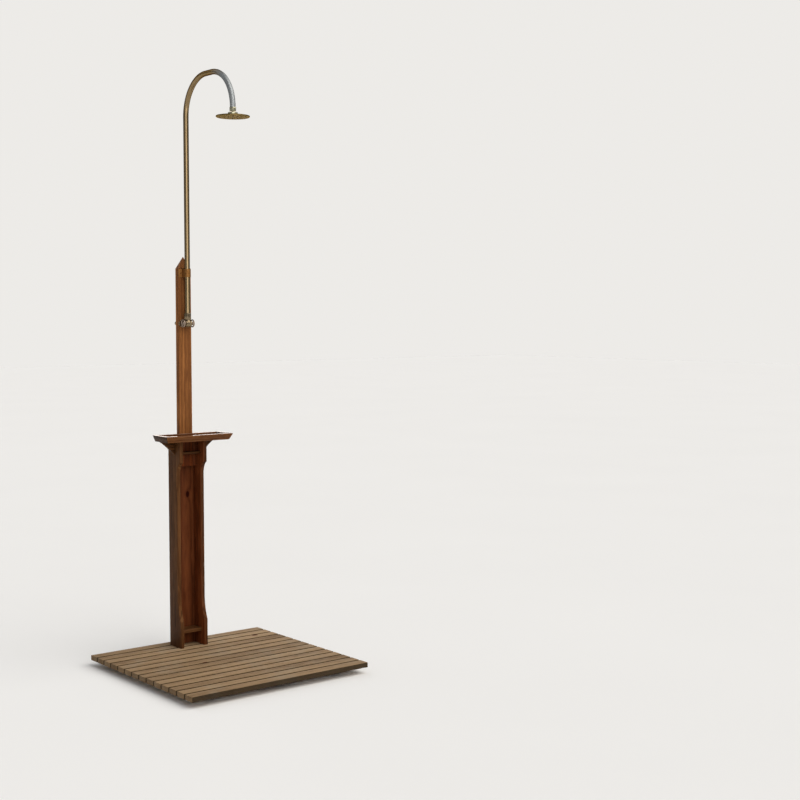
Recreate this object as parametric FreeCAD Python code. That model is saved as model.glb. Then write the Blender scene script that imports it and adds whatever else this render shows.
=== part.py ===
import FreeCAD, Part
import math
import os

# Outdoor shower post: a slatted deck, a wooden column with a small tray, a two-tap
# mixing valve, a gooseneck riser and a round shower head on a ball joint.
# Millimetres. X is to the right as one faces the post, Y goes back, Z is up.
# The origin is on the ground, under the middle of the deck. Heights named "above the
# deck" are measured from the walking surface.

# ---- deck -------------------------------------------------------------------------
deck_width = 800.0
deck_depth = 800.0
slat_count = 14
slat_gap = 6.0
slat_thickness = 20.0
slat_chamfer = 2.5
bearer_height = 25.0
bearer_width = 40.0
bearer_side_inset = 90.0
bearer_end_inset = 12.0
bearer_rake_length = 78.0       # the underside of the front end slopes up, out of sight
bearer_rake_rise = 22.0
base_plank_width = 150.0

# ---- column -----------------------------------------------------------------------
column_width = 128.0
column_back_inset = 51.0        # from the deck's back edge
column_height = 869.0           # above the deck, to the underside of the tray
cheek_thickness = 16.0
cheek_depth_top = 94.0
cheek_depth_waist = 69.0
cheek_depth_foot = 90.0
cheek_foot_height = 108.0       # the straight part of the foot's front edge
cheek_foot_sweep = 97.0         # height of the curve from the foot up to the waist
cheek_head_height = 98.0        # the straight part under the tray
cheek_head_sweep = 49.0         # height of the curve from the waist up to the head
board_chamfer = 1.5
back_panel_thickness = 12.0
ledge_top = 71.0                # above the deck
ledge_thickness = 15.0
shelf_drop = 57.0               # from the tray's underside to the top of the shelf
shelf_thickness = 10.0

# ---- upper post -------------------------------------------------------------------
post_thickness = 24.0
post_lap = 119.0                # length that laps down the front of the back panel
post_rise = 697.0               # from the tray's underside to the shoulders
post_taper_start = 21.0         # above the tray's underside
post_foot_width = 62.0
post_top_width = 60.0
post_point_height = 51.0

# ---- tray -------------------------------------------------------------------------
tray_width = 313.0
tray_depth = 117.0
tray_floor_thickness = 9.0
tray_rim_height = 9.0           # from the tray's floor up to the top of the rails
tray_rail_thickness = 18.0
tray_rail_drop = 8.0            # how far the front and end rails hang below the floor
tray_rail_splay = 12.0
tray_rail_chamfer = 2.0
tray_back_rail_thickness = 12.0
bracket_thickness = 18.0
bracket_root_height = 68.0
bracket_nose_height = 4.0
bracket_cove = 6.0              # how far the lower edge is hollowed
bracket_end_gap = 0.5           # between the bracket's nose and the end rail

# ---- riser pipe -------------------------------------------------------------------
pipe_radius = 11.0
pipe_wall = 1.2
pipe_standoff = 23.0            # from the post's front face to the pipe's axis
gooseneck_top = 2337.0          # height of the pipe's axis above the deck
gooseneck_reach = 357.0         # from the riser's axis to the outlet's axis
gooseneck_radius = 155.0
outlet_straight = 2.6           # below the end of the bend

# ---- pipe saddle ------------------------------------------------------------------
saddle_height = 33.0
saddle_drop = 1.0               # from the post's shoulders to the top of the saddle
strap_thickness = 1.6
strap_width = 58.0
strap_clearance = 0.1

# ---- mixing valve -----------------------------------------------------------------
valve_height = 1342.0           # above the deck
barrel_radius = 14.0
barrel_half_length = 13.0
neck_height = 22.0              # from the valve's axis to the top of the neck
rose_width = 60.0
rose_height = 30.0
rose_thickness = 4.0
casting_half_width = 18.5
casting_half_height = 12.0
casting_back_depth = 7.0
casting_waist = 12.9            # half width between the barrel and the back block
shank_radius = 9.0              # the fixing thread, where it passes through the post
inlet_radius = 8.331            # a 3/8 inch pipe thread, at the free ends
shank_spacing = 25.0
shank_bore_radius = 5.0
shank_hole_clearance = 0.5
back_plate_width = 54.0
back_plate_height = 26.0
back_plate_thickness = 3.0
lock_nut_width = 22.0           # across flats
lock_nut_height = 8.0
inlet_length = 14.0             # beyond the lock nuts, for the supply hoses

# ---- union between valve and riser ------------------------------------------------
union_nut_width = 27.0          # across flats
union_nut_base = 14.5           # above the valve's axis
union_nut_height = 27.5
thread_clearance = 0.1

# ---- headworks and handwheels -----------------------------------------------------
headwork_length = 4.5
headwork_width = 18.0           # across flats
spindle_radius = 3.0
spindle_clearance = 0.05
spindle_square = 4.2
spindle_tail = 3.5              # length inside the barrel
spindle_end_gap = 0.5
wheel_radius = 16.5
wheel_rim_width = 4.5
wheel_thickness = 5.0
spoke_width = 4.5
wheel_gap = 1.0                 # between the headwork and the wheel's hub
hub_radius = 6.0
hub_length = 6.5

# ---- ball joint and shower head ---------------------------------------------------
ball_radius = 7.5
ball_drop = 10.0                # from the end of the bend to the ball's centre
ball_clearance = 0.2
ball_body_radius = 6.9          # above its rounded shoulder the ball is plain
ball_body_height = 2.5          # above the ball's centre
stem_radius = 4.0
swivel_width = 25.0             # across flats
swivel_rise = 9.5               # from the ball's centre to the top of the nut
seat_opening_radius = 6.2
seat_lip = 1.8
cavity_radius = 8.0
pipe_end_gap = 0.3
seal_gap = 0.2
seal_bore_radius = 4.6
seal_height = 3.0
head_radius = 66.0
head_rim_height = 6.0
head_wall = 2.0
boss_radius = 19.0
boss_top_gap = 4.0              # between the swivel nut and the head's boss
boss_height = 13.0
face_plate_radius = 62.0
face_plate_thickness = 2.0
nozzle_ring_radii = (0.0, 18.0, 36.0, 54.0)
nozzle_ring_counts = (1, 6, 12, 12)
nozzle_radius = 1.5
nozzle_height = 1.4

# ---- places that follow from the sizes --------------------------------------------
deck_top = bearer_height + slat_thickness
deck_back = deck_depth / 2
slat_depth = (deck_depth - (slat_count - 1) * slat_gap) / slat_count
column_back = deck_back - column_back_inset
column_half = column_width / 2
channel_half = column_half - cheek_thickness
panel_front = column_back - back_panel_thickness
post_front = panel_front - post_thickness
waist_front = column_back - cheek_depth_waist
tray_under = deck_top + column_height
tray_top = tray_under + tray_floor_thickness + tray_rim_height
tray_back = post_front
tray_front = tray_back - tray_depth
tray_half = tray_width / 2
ledge_level = deck_top + ledge_top
shelf_level = tray_under - shelf_drop
post_bottom = tray_under - post_lap
shoulder_level = tray_under + post_rise
pipe_y = post_front - pipe_standoff
valve_z = deck_top + valve_height
neck_top = valve_z + neck_height
bend_level = deck_top + gooseneck_top - gooseneck_radius
outlet_y = pipe_y - gooseneck_reach
outlet_end = bend_level - outlet_straight
ball_level = bend_level - ball_drop
plate_back = panel_front + back_plate_thickness
inlet_start = plate_back + lock_nut_height
inlet_end = inlet_start + inlet_length


def point(x, y, z):
    return FreeCAD.Vector(x, y, z)


def block(x0, x1, y0, y1, z0, z1):
    return Part.makeBox(x1 - x0, y1 - y0, z1 - z0, point(x0, y0, z0))


def rod(radius, start, end):
    """A cylinder from one point to another."""
    axis = end.sub(start)
    return Part.makeCylinder(radius, axis.Length, start, axis)


def hexagon(across_flats, start, end, flat_towards):
    """A hexagonal bar from start to end, with two flats that face along flat_towards."""
    axis = end.sub(start)
    side = axis.cross(flat_towards).normalize()
    out = point(flat_towards.x, flat_towards.y, flat_towards.z).normalize()
    corner_radius = across_flats / math.sqrt(3.0)
    corners = []
    for k in range(6):
        angle = math.radians(30.0 + 60.0 * k)
        offset = out * (corner_radius * math.cos(angle)) + side * (corner_radius * math.sin(angle))
        corners.append(start.add(offset))
    corners.append(corners[0])
    return Part.Face(Part.makePolygon(corners)).extrude(axis)


def turned(profile, centre):
    """A solid of revolution about the vertical line through centre. The profile is a list
    of (radius, height) points, and a point with a third value is reached by an arc that
    passes through the (radius, height) given there."""
    edges = []
    places = [point(centre.x + p[0], centre.y, centre.z + p[1]) for p in profile]
    for k, item in enumerate(profile):
        start = places[k - 1]
        end = places[k]
        if len(item) == 3:
            middle = point(centre.x + item[2][0], centre.y, centre.z + item[2][1])
            edges.append(Part.Arc(start, middle, end).toShape())
        else:
            edges.append(Part.LineSegment(start, end).toShape())
    face = Part.Face(Part.Wire(edges))
    return face.revolve(centre, point(0, 0, 1), 360.0)


def edges_along(shape, direction):
    """The straight edges of a shape that run along a direction."""
    found = []
    for edge in shape.Edges:
        if isinstance(edge.Curve, Part.Line):
            run = edge.tangentAt(edge.FirstParameter)
            if abs(run.dot(direction)) > 0.999:
                found.append(edge)
    return found


def chamfered_block(x0, x1, y0, y1, z0, z1, direction, size):
    """A board whose long edges, along direction, are chamfered."""
    board = block(x0, x1, y0, y1, z0, z1)
    return board.makeChamfer(size, edges_along(board, direction))


def save(name, shape):
    if not shape.isValid():
        raise ValueError(name + " is not a valid shape")
    if len(shape.Solids) == 1:
        shape = shape.Solids[0]
    shape.exportStep("parts/" + name + ".step")
    print(name, len(shape.Solids), round(shape.Volume))


# ---- deck pieces ------------------------------------------------------------------
def make_deck():
    """Slats side by side, on a bearer at each end and a broad plank under the column."""
    for index in range(slat_count):
        front = -deck_depth / 2 + index * (slat_depth + slat_gap)
        slat = chamfered_block(-deck_width / 2, deck_width / 2, front, front + slat_depth,
                               bearer_height, deck_top, point(1, 0, 0), slat_chamfer)
        save("deck_slat_%02d" % (index + 1), slat)
    outer = deck_width / 2 - bearer_side_inset - bearer_width / 2
    supports = (
        ("deck_bearer_left", -outer, bearer_width),
        ("deck_base_plank", 0.0, base_plank_width),
        ("deck_bearer_right", outer, bearer_width),
    )
    front = -deck_depth / 2 + bearer_end_inset
    back = deck_depth / 2 - bearer_end_inset
    side_view = [(front, bearer_height), (front, bearer_rake_rise), (front + bearer_rake_length, 0),
                 (back, 0), (back, bearer_height), (front, bearer_height)]
    for name, centre, width in supports:
        outline = Part.makePolygon([point(centre - width / 2, y, z) for y, z in side_view])
        save(name, Part.Face(outline).extrude(point(width, 0, 0)))


# ---- column pieces ----------------------------------------------------------------
def sweep_arc(upright_end, tip):
    """An arc that leaves upright_end along Z and ends at tip, as (Y, Z) points. Returns
    the arc's middle point."""
    dy = tip[0] - upright_end[0]
    dz = tip[1] - upright_end[1]
    radius = (dy * dy + dz * dz) / (2.0 * abs(dy))
    half = math.asin(abs(dz) / radius) / 2.0
    middle_y = upright_end[0] + math.copysign(radius * (1.0 - math.cos(half)), dy)
    middle_z = upright_end[1] + math.copysign(radius * math.sin(half), dz)
    return (middle_y, middle_z)


def cheek_outline(x):
    """The side board's outline in the plane at x: deep at the foot and under the tray,
    drawn in between them by two curves."""
    foot_y = column_back - cheek_depth_foot
    head_y = column_back - cheek_depth_top
    foot_corner = (foot_y, deck_top + cheek_foot_height)
    waist_low = (waist_front, foot_corner[1] + cheek_foot_sweep)
    head_corner = (head_y, tray_under - cheek_head_height)
    waist_high = (waist_front, head_corner[1] - cheek_head_sweep)
    low_middle = sweep_arc(waist_low, foot_corner)
    high_middle = sweep_arc(waist_high, head_corner)

    def at(place):
        return point(x, place[0], place[1])

    bottom_back = (column_back, deck_top)
    bottom_front = (foot_y, deck_top)
    top_front = (head_y, tray_under)
    top_back = (column_back, tray_under)
    edges = [
        Part.LineSegment(at(bottom_back), at(bottom_front)),
        Part.LineSegment(at(bottom_front), at(foot_corner)),
        Part.Arc(at(foot_corner), at(low_middle), at(waist_low)),
        Part.LineSegment(at(waist_low), at(waist_high)),
        Part.Arc(at(waist_high), at(high_middle), at(head_corner)),
        Part.LineSegment(at(head_corner), at(top_front)),
        Part.LineSegment(at(top_front), at(top_back)),
        Part.LineSegment(at(top_back), at(bottom_back)),
    ]
    return Part.Wire([edge.toShape() for edge in edges])


def front_edges(shape):
    """The edges of a cheek's curved front, on both of its faces."""
    found = []
    for edge in shape.Edges:
        middle = edge.valueAt((edge.FirstParameter + edge.LastParameter) / 2)
        level = edge.BoundBox.ZLength < 0.01
        if middle.y < waist_front + 0.5 and not level:
            found.append(edge)
    return found


def make_cheeks():
    for name, side in (("left_cheek", -1), ("right_cheek", 1)):
        start = min(side * column_half, side * channel_half)
        cheek = Part.Face(cheek_outline(start)).extrude(point(cheek_thickness, 0, 0))
        save(name, cheek.makeChamfer(board_chamfer, front_edges(cheek)))


def make_channel_boards():
    """The boards between the cheeks: the back, a ledge at the foot and a small shelf."""
    save("back_panel", block(-channel_half, channel_half, panel_front, column_back,
                             deck_top, tray_under))
    save("foot_ledge", chamfered_block(-channel_half, channel_half, waist_front, panel_front,
                                       ledge_level - ledge_thickness, ledge_level,
                                       point(1, 0, 0), board_chamfer))
    save("cubby_shelf", chamfered_block(-channel_half, channel_half, waist_front, post_front,
                                        shelf_level - shelf_thickness, shelf_level,
                                        point(1, 0, 0), board_chamfer))


def make_upper_post():
    """A tapered board with a four-sided point. It is what two outlines have in common:
    one seen from the front and one seen from the side."""
    taper_level = tray_under + post_taper_start
    point_level = shoulder_level + post_point_height
    half_foot = post_foot_width / 2
    half_top = post_top_width / 2
    middle_y = post_front + post_thickness / 2
    front_view = [
        (-half_foot, post_bottom), (half_foot, post_bottom), (half_foot, taper_level),
        (half_top, shoulder_level), (0, point_level), (-half_top, shoulder_level),
        (-half_foot, taper_level), (-half_foot, post_bottom),
    ]
    side_view = [
        (post_front, post_bottom), (panel_front, post_bottom), (panel_front, shoulder_level),
        (middle_y, point_level), (post_front, shoulder_level), (post_front, post_bottom),
    ]
    board = Part.Face(Part.makePolygon([point(x, post_front, z) for x, z in front_view]))
    board = board.extrude(point(0, post_thickness, 0))
    long_edges = []
    for edge in board.Edges:
        box = edge.BoundBox
        if box.YLength < 0.01 and box.ZMin > taper_level - 0.5 and box.ZMax < shoulder_level + 0.5:
            long_edges.append(edge)
    board = board.makeChamfer(board_chamfer, long_edges)
    wedge = Part.Face(Part.makePolygon([point(-column_half, y, z) for y, z in side_view]))
    board = board.common(wedge.extrude(point(column_width, 0, 0)))
    for x in shank_centres():
        board = board.cut(rod(shank_radius + shank_hole_clearance,
                              point(x, post_front - 1, valve_z), point(x, panel_front + 1, valve_z)))
    save("upper_post", board)


def make_post_packers():
    """A packer fills the channel on each side of the upper post's foot."""
    for name, side in (("post_packer_left", -1), ("post_packer_right", 1)):
        start = min(side * post_foot_width / 2, side * channel_half)
        save(name, block(start, start + channel_half - post_foot_width / 2, post_front, panel_front,
                         post_bottom, tray_under))


# ---- tray pieces ------------------------------------------------------------------
def rail_ring():
    """The front and end rails in one: outside faces lean in towards the bottom."""
    low = tray_under - tray_rail_drop
    wide = [(-tray_half, tray_front), (tray_half, tray_front),
            (tray_half, tray_back), (-tray_half, tray_back)]
    narrow = [(-tray_half + tray_rail_splay, tray_front + tray_rail_splay),
              (tray_half - tray_rail_splay, tray_front + tray_rail_splay),
              (tray_half - tray_rail_splay, tray_back),
              (-tray_half + tray_rail_splay, tray_back)]
    wires = []
    for outline, z in ((narrow, low), (wide, tray_top)):
        corners = [point(x, y, z) for x, y in outline]
        wires.append(Part.makePolygon(corners + corners[:1]))
    body = Part.makeLoft(wires, True, True)
    rim = []
    for edge in body.Edges:
        box = edge.BoundBox
        if box.ZMin > tray_top - 0.5 and box.YMin < tray_back - 0.5:
            rim.append(edge)
    body = body.makeChamfer(tray_rail_chamfer, rim)
    inside = block(-tray_half + tray_rail_thickness, tray_half - tray_rail_thickness,
                   tray_front + tray_rail_thickness, tray_back + 1, low - 1, tray_top + 1)
    return body.cut(inside)


def make_tray():
    ring = rail_ring()
    low = tray_under - tray_rail_drop - 1
    tall = tray_top - low + 1
    inner = tray_half - tray_rail_thickness
    mitre_y = tray_front + tray_rail_thickness
    front_plan = [(-tray_half, tray_front), (tray_half, tray_front),
                  (inner, mitre_y), (-inner, mitre_y), (-tray_half, tray_front)]
    front_tool = Part.Face(Part.makePolygon([point(x, y, low) for x, y in front_plan]))
    save("tray_front_rail", ring.common(front_tool.extrude(point(0, 0, tall))))
    for name, side in (("tray_end_rail_left", -1), ("tray_end_rail_right", 1)):
        plan = [(side * tray_half, tray_front), (side * inner, mitre_y),
                (side * inner, tray_back), (side * tray_half, tray_back),
                (side * tray_half, tray_front)]
        tool = Part.Face(Part.makePolygon([point(x, y, low) for x, y in plan]))
        save(name, ring.common(tool.extrude(point(0, 0, tall))))
    floor_back = tray_back - tray_back_rail_thickness
    back_rail = block(-inner, inner, floor_back, tray_back, tray_under, tray_top)
    top_edges = [e for e in edges_along(back_rail, point(1, 0, 0)) if e.BoundBox.ZMin > tray_top - 0.5]
    save("tray_back_rail", back_rail.makeChamfer(tray_rail_chamfer, top_edges))
    floor = block(-inner, inner, mitre_y, floor_back, tray_under, tray_under + tray_floor_thickness)
    save("tray_floor", floor)


def make_brackets():
    """A corbel under each end of the tray, against the outside of the cheek."""
    reach = tray_half - tray_rail_thickness - bracket_end_gap
    for name, side in (("tray_bracket_left", -1), ("tray_bracket_right", 1)):
        root_x = side * column_half
        nose_x = side * reach
        nose_z = tray_under - bracket_nose_height
        root_z = tray_under - bracket_root_height
        middle = ((root_x + nose_x) / 2, (root_z + nose_z) / 2 + bracket_cove)

        def at(x, z):
            return point(x, tray_back - bracket_thickness, z)

        edges = [
            Part.LineSegment(at(root_x, tray_under), at(nose_x, tray_under)),
            Part.LineSegment(at(nose_x, tray_under), at(nose_x, nose_z)),
            Part.Arc(at(nose_x, nose_z), at(*middle), at(root_x, root_z)),
            Part.LineSegment(at(root_x, root_z), at(root_x, tray_under)),
        ]
        wire = Part.Wire([edge.toShape() for edge in edges])
        save(name, Part.Face(wire).extrude(point(0, bracket_thickness, 0)))


# ---- riser and saddle -------------------------------------------------------------
def bend(radius, start_y, centre_y, quarter):
    """A quarter turn of round bar in the plane X = 0, about the bend's centre."""
    ring = Part.Wire([Part.Circle(point(0, start_y, bend_level), point(0, 0, 1), radius).toShape()])
    return Part.Face(ring).revolve(point(0, centre_y, bend_level), point(1, 0, 0), quarter)


def make_riser():
    """Up the post, over in two bends with a short level run, and down to the outlet. The
    straight stretch is a tube. The arch is left solid inside, where nothing shows."""
    top = bend_level + gooseneck_radius
    back_y = pipe_y - gooseneck_radius
    front_y = outlet_y + gooseneck_radius
    pipe = rod(pipe_radius, point(0, pipe_y, neck_top), point(0, pipe_y, bend_level))
    pipe = pipe.fuse(bend(pipe_radius, pipe_y, back_y, 90.0))
    pipe = pipe.fuse(rod(pipe_radius, point(0, back_y, top), point(0, front_y, top)))
    pipe = pipe.fuse(bend(pipe_radius, outlet_y, front_y, -90.0))
    pipe = pipe.fuse(rod(pipe_radius, point(0, outlet_y, bend_level), point(0, outlet_y, outlet_end)))
    bore = rod(pipe_radius - pipe_wall, point(0, pipe_y, neck_top - 1), point(0, pipe_y, bend_level))
    save("riser_pipe", pipe.cut(bore))


def saddle_levels():
    top = shoulder_level - saddle_drop
    return top - saddle_height, top


def make_saddle():
    """A bent strap holds the riser against a hollowed wooden block on the post."""
    low, high = saddle_levels()
    hole_radius = pipe_radius + strap_clearance
    outer_radius = hole_radius + strap_thickness
    pipe_hole = rod(hole_radius, point(0, pipe_y, low - 1), point(0, pipe_y, high + 1))
    spacer = block(-hole_radius, hole_radius, pipe_y, post_front, low, high).cut(pipe_hole)
    save("saddle_block", spacer)
    outer = rod(outer_radius, point(0, pipe_y, low), point(0, pipe_y, high))
    outer = outer.fuse(block(-outer_radius, outer_radius, pipe_y, post_front, low, high))
    inner = pipe_hole.fuse(block(-hole_radius, hole_radius, pipe_y, post_front + 1, low - 1, high + 1))
    ears = block(-strap_width / 2, strap_width / 2,
                 post_front - strap_thickness, post_front, low, high)
    strap = outer.fuse(ears).cut(inner).removeSplitter()
    save("saddle_strap", strap)


# ---- valve ------------------------------------------------------------------------
def on_valve(x, y=0.0, z=0.0):
    """A point measured from the middle of the valve."""
    return point(x, pipe_y + y, valve_z + z)


def shank_centres():
    return (-shank_spacing / 2, shank_spacing / 2)


def stadium(width, height, front, back):
    """A plate with round ends, standing across Y, centred on the valve."""
    half = width / 2 - height / 2
    plate = block(-half, half, front, back, valve_z - height / 2, valve_z + height / 2)
    for x in (-half, half):
        plate = plate.fuse(rod(height / 2, point(x, front, valve_z), point(x, back, valve_z)))
    return plate.removeSplitter()


def make_valve_body():
    """One brass casting: barrel, neck, rose and two threaded shanks through the post. It
    is solid inside but for the two inlets and the sockets of the taps."""
    rose_front = post_front - rose_thickness
    casting_front = rose_front - casting_back_depth
    body = rod(barrel_radius, on_valve(-barrel_half_length), on_valve(barrel_half_length))
    body = body.fuse(rod(pipe_radius, on_valve(0), on_valve(0, 0, neck_height)))
    low = valve_z - casting_half_height
    high = valve_z + casting_half_height
    body = body.fuse(block(-casting_waist, casting_waist, pipe_y, rose_front, low, high))
    body = body.fuse(block(-casting_half_width, casting_half_width, casting_front, rose_front, low, high))
    body = body.fuse(stadium(rose_width, rose_height, rose_front, post_front))
    for x in shank_centres():
        body = body.fuse(rod(shank_radius, point(x, rose_front, valve_z), point(x, inlet_start, valve_z)))
        body = body.fuse(rod(inlet_radius, point(x, rose_front, valve_z), point(x, inlet_end, valve_z)))
    body = body.removeSplitter()
    for side in (-1, 1):
        body = body.cut(rod(spindle_radius + spindle_clearance,
                            on_valve(side * (barrel_half_length - spindle_tail - spindle_end_gap)),
                            on_valve(side * (barrel_half_length + 1))))
        body = body.cut(rod(shank_bore_radius, point(side * shank_spacing / 2, casting_front, valve_z),
                            point(side * shank_spacing / 2, inlet_end + 1, valve_z)))
    save("valve_body", body)


def make_valve_fixings():
    plate = block(-back_plate_width / 2, back_plate_width / 2, panel_front, plate_back,
                  valve_z - back_plate_height / 2, valve_z + back_plate_height / 2)
    for x in shank_centres():
        plate = plate.cut(rod(shank_radius + thread_clearance, point(x, panel_front - 1, valve_z),
                              point(x, plate_back + 1, valve_z)))
    save("valve_back_plate", plate)
    nuts = []
    for x in shank_centres():
        start = point(x, plate_back, valve_z)
        end = point(x, plate_back + lock_nut_height, valve_z)
        nut = hexagon(lock_nut_width, start, end, point(1, 0, 0))
        nuts.append(nut.cut(rod(shank_radius + thread_clearance, start, end)))
    save("lock_nuts", Part.makeCompound(nuts))
    nut = hexagon(union_nut_width, on_valve(0, 0, union_nut_base),
                  on_valve(0, 0, union_nut_base + union_nut_height), point(0, 1, 0))
    bore = rod(pipe_radius + thread_clearance, on_valve(0, 0, union_nut_base - 1),
               on_valve(0, 0, union_nut_base + union_nut_height + 1))
    save("union_nut", nut.cut(bore))


def make_tap(name, side):
    """One tap: a six-sided headwork on the barrel's end, and the spindle and wheel that
    turn in it."""
    flange_end = barrel_half_length + headwork_length
    hub_start = flange_end + wheel_gap
    hub_end = hub_start + hub_length
    headwork = hexagon(headwork_width, on_valve(side * barrel_half_length),
                       on_valve(side * flange_end), point(0, 0, 1))
    bore = rod(spindle_radius + spindle_clearance, on_valve(side * (barrel_half_length - 1)),
               on_valve(side * (flange_end + 1)))
    save("headwork_" + name, headwork.cut(bore))

    half = spindle_square / 2
    low = min(side * hub_start, side * hub_end)
    square = block(low, low + hub_length, pipe_y - half, pipe_y + half, valve_z - half, valve_z + half)
    tail = rod(spindle_radius, on_valve(side * (barrel_half_length - spindle_tail)),
               on_valve(side * hub_start))
    save("spindle_" + name, tail.fuse(square))

    rim_start = hub_start + (hub_length - wheel_thickness) / 2
    rim_end = rim_start + wheel_thickness
    wheel = rod(wheel_radius, on_valve(side * rim_start), on_valve(side * rim_end))
    inner = spoke_width / 2
    outer = (wheel_radius - wheel_rim_width) * math.sqrt(0.5) + inner / 2
    for turn in range(4):
        window = block(-wheel_radius, wheel_radius, pipe_y + inner, pipe_y + outer,
                       valve_z + inner, valve_z + outer)
        window.translate(point(side * (rim_start + rim_end) / 2, 0, 0))
        window.rotate(on_valve(0), point(1, 0, 0), 90.0 * turn)
        wheel = wheel.cut(window)
    wheel = wheel.fuse(rod(hub_radius, on_valve(side * hub_start), on_valve(side * hub_end)))
    wheel.rotate(on_valve(0), point(1, 0, 0), 45.0)
    save("handwheel_" + name, wheel.cut(square))


# ---- ball joint and head ----------------------------------------------------------
def seat_floor():
    """Height, from the ball's centre, at which the ball rests on the nut's opening."""
    seat = ball_radius + ball_clearance
    return -math.sqrt(seat * seat - seat_opening_radius * seat_opening_radius)


def make_swivel():
    """A ball that hangs in the opening of a nut, under a seal at the pipe's end."""
    centre = point(0, outlet_y, ball_level)
    pipe_end = outlet_end - ball_level
    floor = seat_floor()
    lip = floor - seat_lip
    nut = hexagon(swivel_width, centre + point(0, 0, lip), centre + point(0, 0, swivel_rise),
                  point(0, 1, 0))
    nut = nut.cut(rod(seat_opening_radius, centre + point(0, 0, lip - 1), centre))
    nut = nut.cut(rod(cavity_radius, centre + point(0, 0, floor), centre + point(0, 0, pipe_end)))
    nut = nut.cut(rod(pipe_radius + thread_clearance, centre + point(0, 0, pipe_end - pipe_end_gap),
                      centre + point(0, 0, swivel_rise + 1)))
    save("swivel_nut", nut)

    seal_top = centre + point(0, 0, pipe_end - pipe_end_gap - seal_gap)
    seal = rod(cavity_radius - seal_gap, seal_top - point(0, 0, seal_height), seal_top)
    seal = seal.cut(rod(seal_bore_radius, seal_top - point(0, 0, seal_height + 1),
                        seal_top + point(0, 0, 1)))
    save("ball_seal", seal)

    shoulder = -math.sqrt(ball_radius ** 2 - ball_body_radius ** 2)
    root = -math.sqrt(ball_radius ** 2 - stem_radius ** 2)
    middle_radius = (ball_body_radius + stem_radius) / 2
    middle = (middle_radius, -math.sqrt(ball_radius ** 2 - middle_radius ** 2))
    stem_end = lip - boss_top_gap - boss_height - head_wall
    ball = turned([
        (0, stem_end), (stem_radius, stem_end), (stem_radius, root),
        (ball_body_radius, shoulder, middle), (ball_body_radius, ball_body_height),
        (0, ball_body_height),
    ], centre)
    save("swivel_ball", ball)


def make_head():
    """A thin round head: a shell with a boss, and a flat face plate with nozzles."""
    crown = ball_level + seat_floor() - seat_lip - boss_top_gap - boss_height
    centre = point(0, outlet_y, crown)
    low = -head_rim_height
    shell = turned([
        (stem_radius, boss_height), (boss_radius, boss_height), (boss_radius, 0),
        (head_radius, 0), (head_radius, low),
        (face_plate_radius, low), (face_plate_radius, -head_wall),
        (stem_radius, -head_wall),
    ], centre)
    save("head_shell", shell)
    plate = rod(face_plate_radius - thread_clearance, centre + point(0, 0, low),
                centre + point(0, 0, low + face_plate_thickness))
    save("head_face_plate", plate)
    nubs = []
    for ring_radius, count in zip(nozzle_ring_radii, nozzle_ring_counts):
        for k in range(count):
            angle = 2 * math.pi * k / count
            root = centre + point(ring_radius * math.cos(angle), ring_radius * math.sin(angle), low)
            nubs.append(nozzle(root))
    save("head_nozzles", Part.makeCompound(nubs))


def nozzle(root):
    """A small nub that hangs from the face plate, drawn with six sides."""
    corners = []
    for k in range(7):
        angle = math.radians(60.0 * k)
        corners.append(root + point(nozzle_radius * math.cos(angle), nozzle_radius * math.sin(angle), 0))
    return Part.Face(Part.makePolygon(corners)).extrude(point(0, 0, -nozzle_height))


def main():
    os.makedirs("parts", exist_ok=True)
    make_deck()
    make_cheeks()
    make_channel_boards()
    make_upper_post()
    make_post_packers()
    make_tray()
    make_brackets()
    make_riser()
    make_saddle()
    make_valve_body()
    make_valve_fixings()
    make_tap("left", -1)
    make_tap("right", 1)
    make_swivel()
    make_head()


main()
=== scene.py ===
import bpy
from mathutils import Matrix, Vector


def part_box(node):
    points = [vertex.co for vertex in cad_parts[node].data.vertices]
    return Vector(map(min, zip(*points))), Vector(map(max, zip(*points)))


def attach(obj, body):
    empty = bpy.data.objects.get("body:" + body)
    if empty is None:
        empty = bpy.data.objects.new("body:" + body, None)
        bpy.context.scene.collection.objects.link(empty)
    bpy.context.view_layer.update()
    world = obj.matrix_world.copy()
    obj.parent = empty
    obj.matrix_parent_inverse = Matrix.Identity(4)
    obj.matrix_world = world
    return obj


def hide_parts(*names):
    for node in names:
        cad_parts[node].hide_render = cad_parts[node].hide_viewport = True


bl_info = {
    "name": "Outdoor shower post",
    "version": (1, 0, 0),
    "blender": (4, 5, 0),
    "location": "3D View > Sidebar > Shower post",
    "description": "Builds the visible pieces of an outdoor shower post on its frame",
    "category": "Add Mesh",
}

import math

import bmesh
import bpy
from bpy.props import FloatProperty, FloatVectorProperty, IntProperty, PointerProperty
from mathutils import Matrix, Vector

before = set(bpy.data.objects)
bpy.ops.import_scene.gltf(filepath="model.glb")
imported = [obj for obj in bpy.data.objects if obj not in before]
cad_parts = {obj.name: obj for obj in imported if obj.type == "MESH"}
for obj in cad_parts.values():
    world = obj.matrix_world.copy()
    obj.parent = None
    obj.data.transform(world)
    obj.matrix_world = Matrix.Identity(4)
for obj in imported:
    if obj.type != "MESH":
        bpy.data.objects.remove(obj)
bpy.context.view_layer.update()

# Metres. X is to the right as one faces the post, Y goes back and Z is up.
MM = 0.001
DECK_HALF = 0.4                  # half the deck's width and depth
PIPE_RADIUS = 0.011
PIPE_Y = 0.290                   # the axis of the riser and of the valve
BEND_Z = 2.227                   # where both bends of the riser start
BEND_RADIUS = 0.155
VALVE_Z = 1.387
ROSE_FRONT = 0.309               # the valve's wall plate, between the body and the post
ROSE_BACK = 0.313
INLET_X = 0.0125                 # half the distance between the two inlets
HEAD_Y = -0.067                  # the axis of the outlet
X_AXIS = Vector((1, 0, 0))
Y_AXIS = Vector((0, 1, 0))
Z_AXIS = Vector((0, 0, 1))


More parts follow.
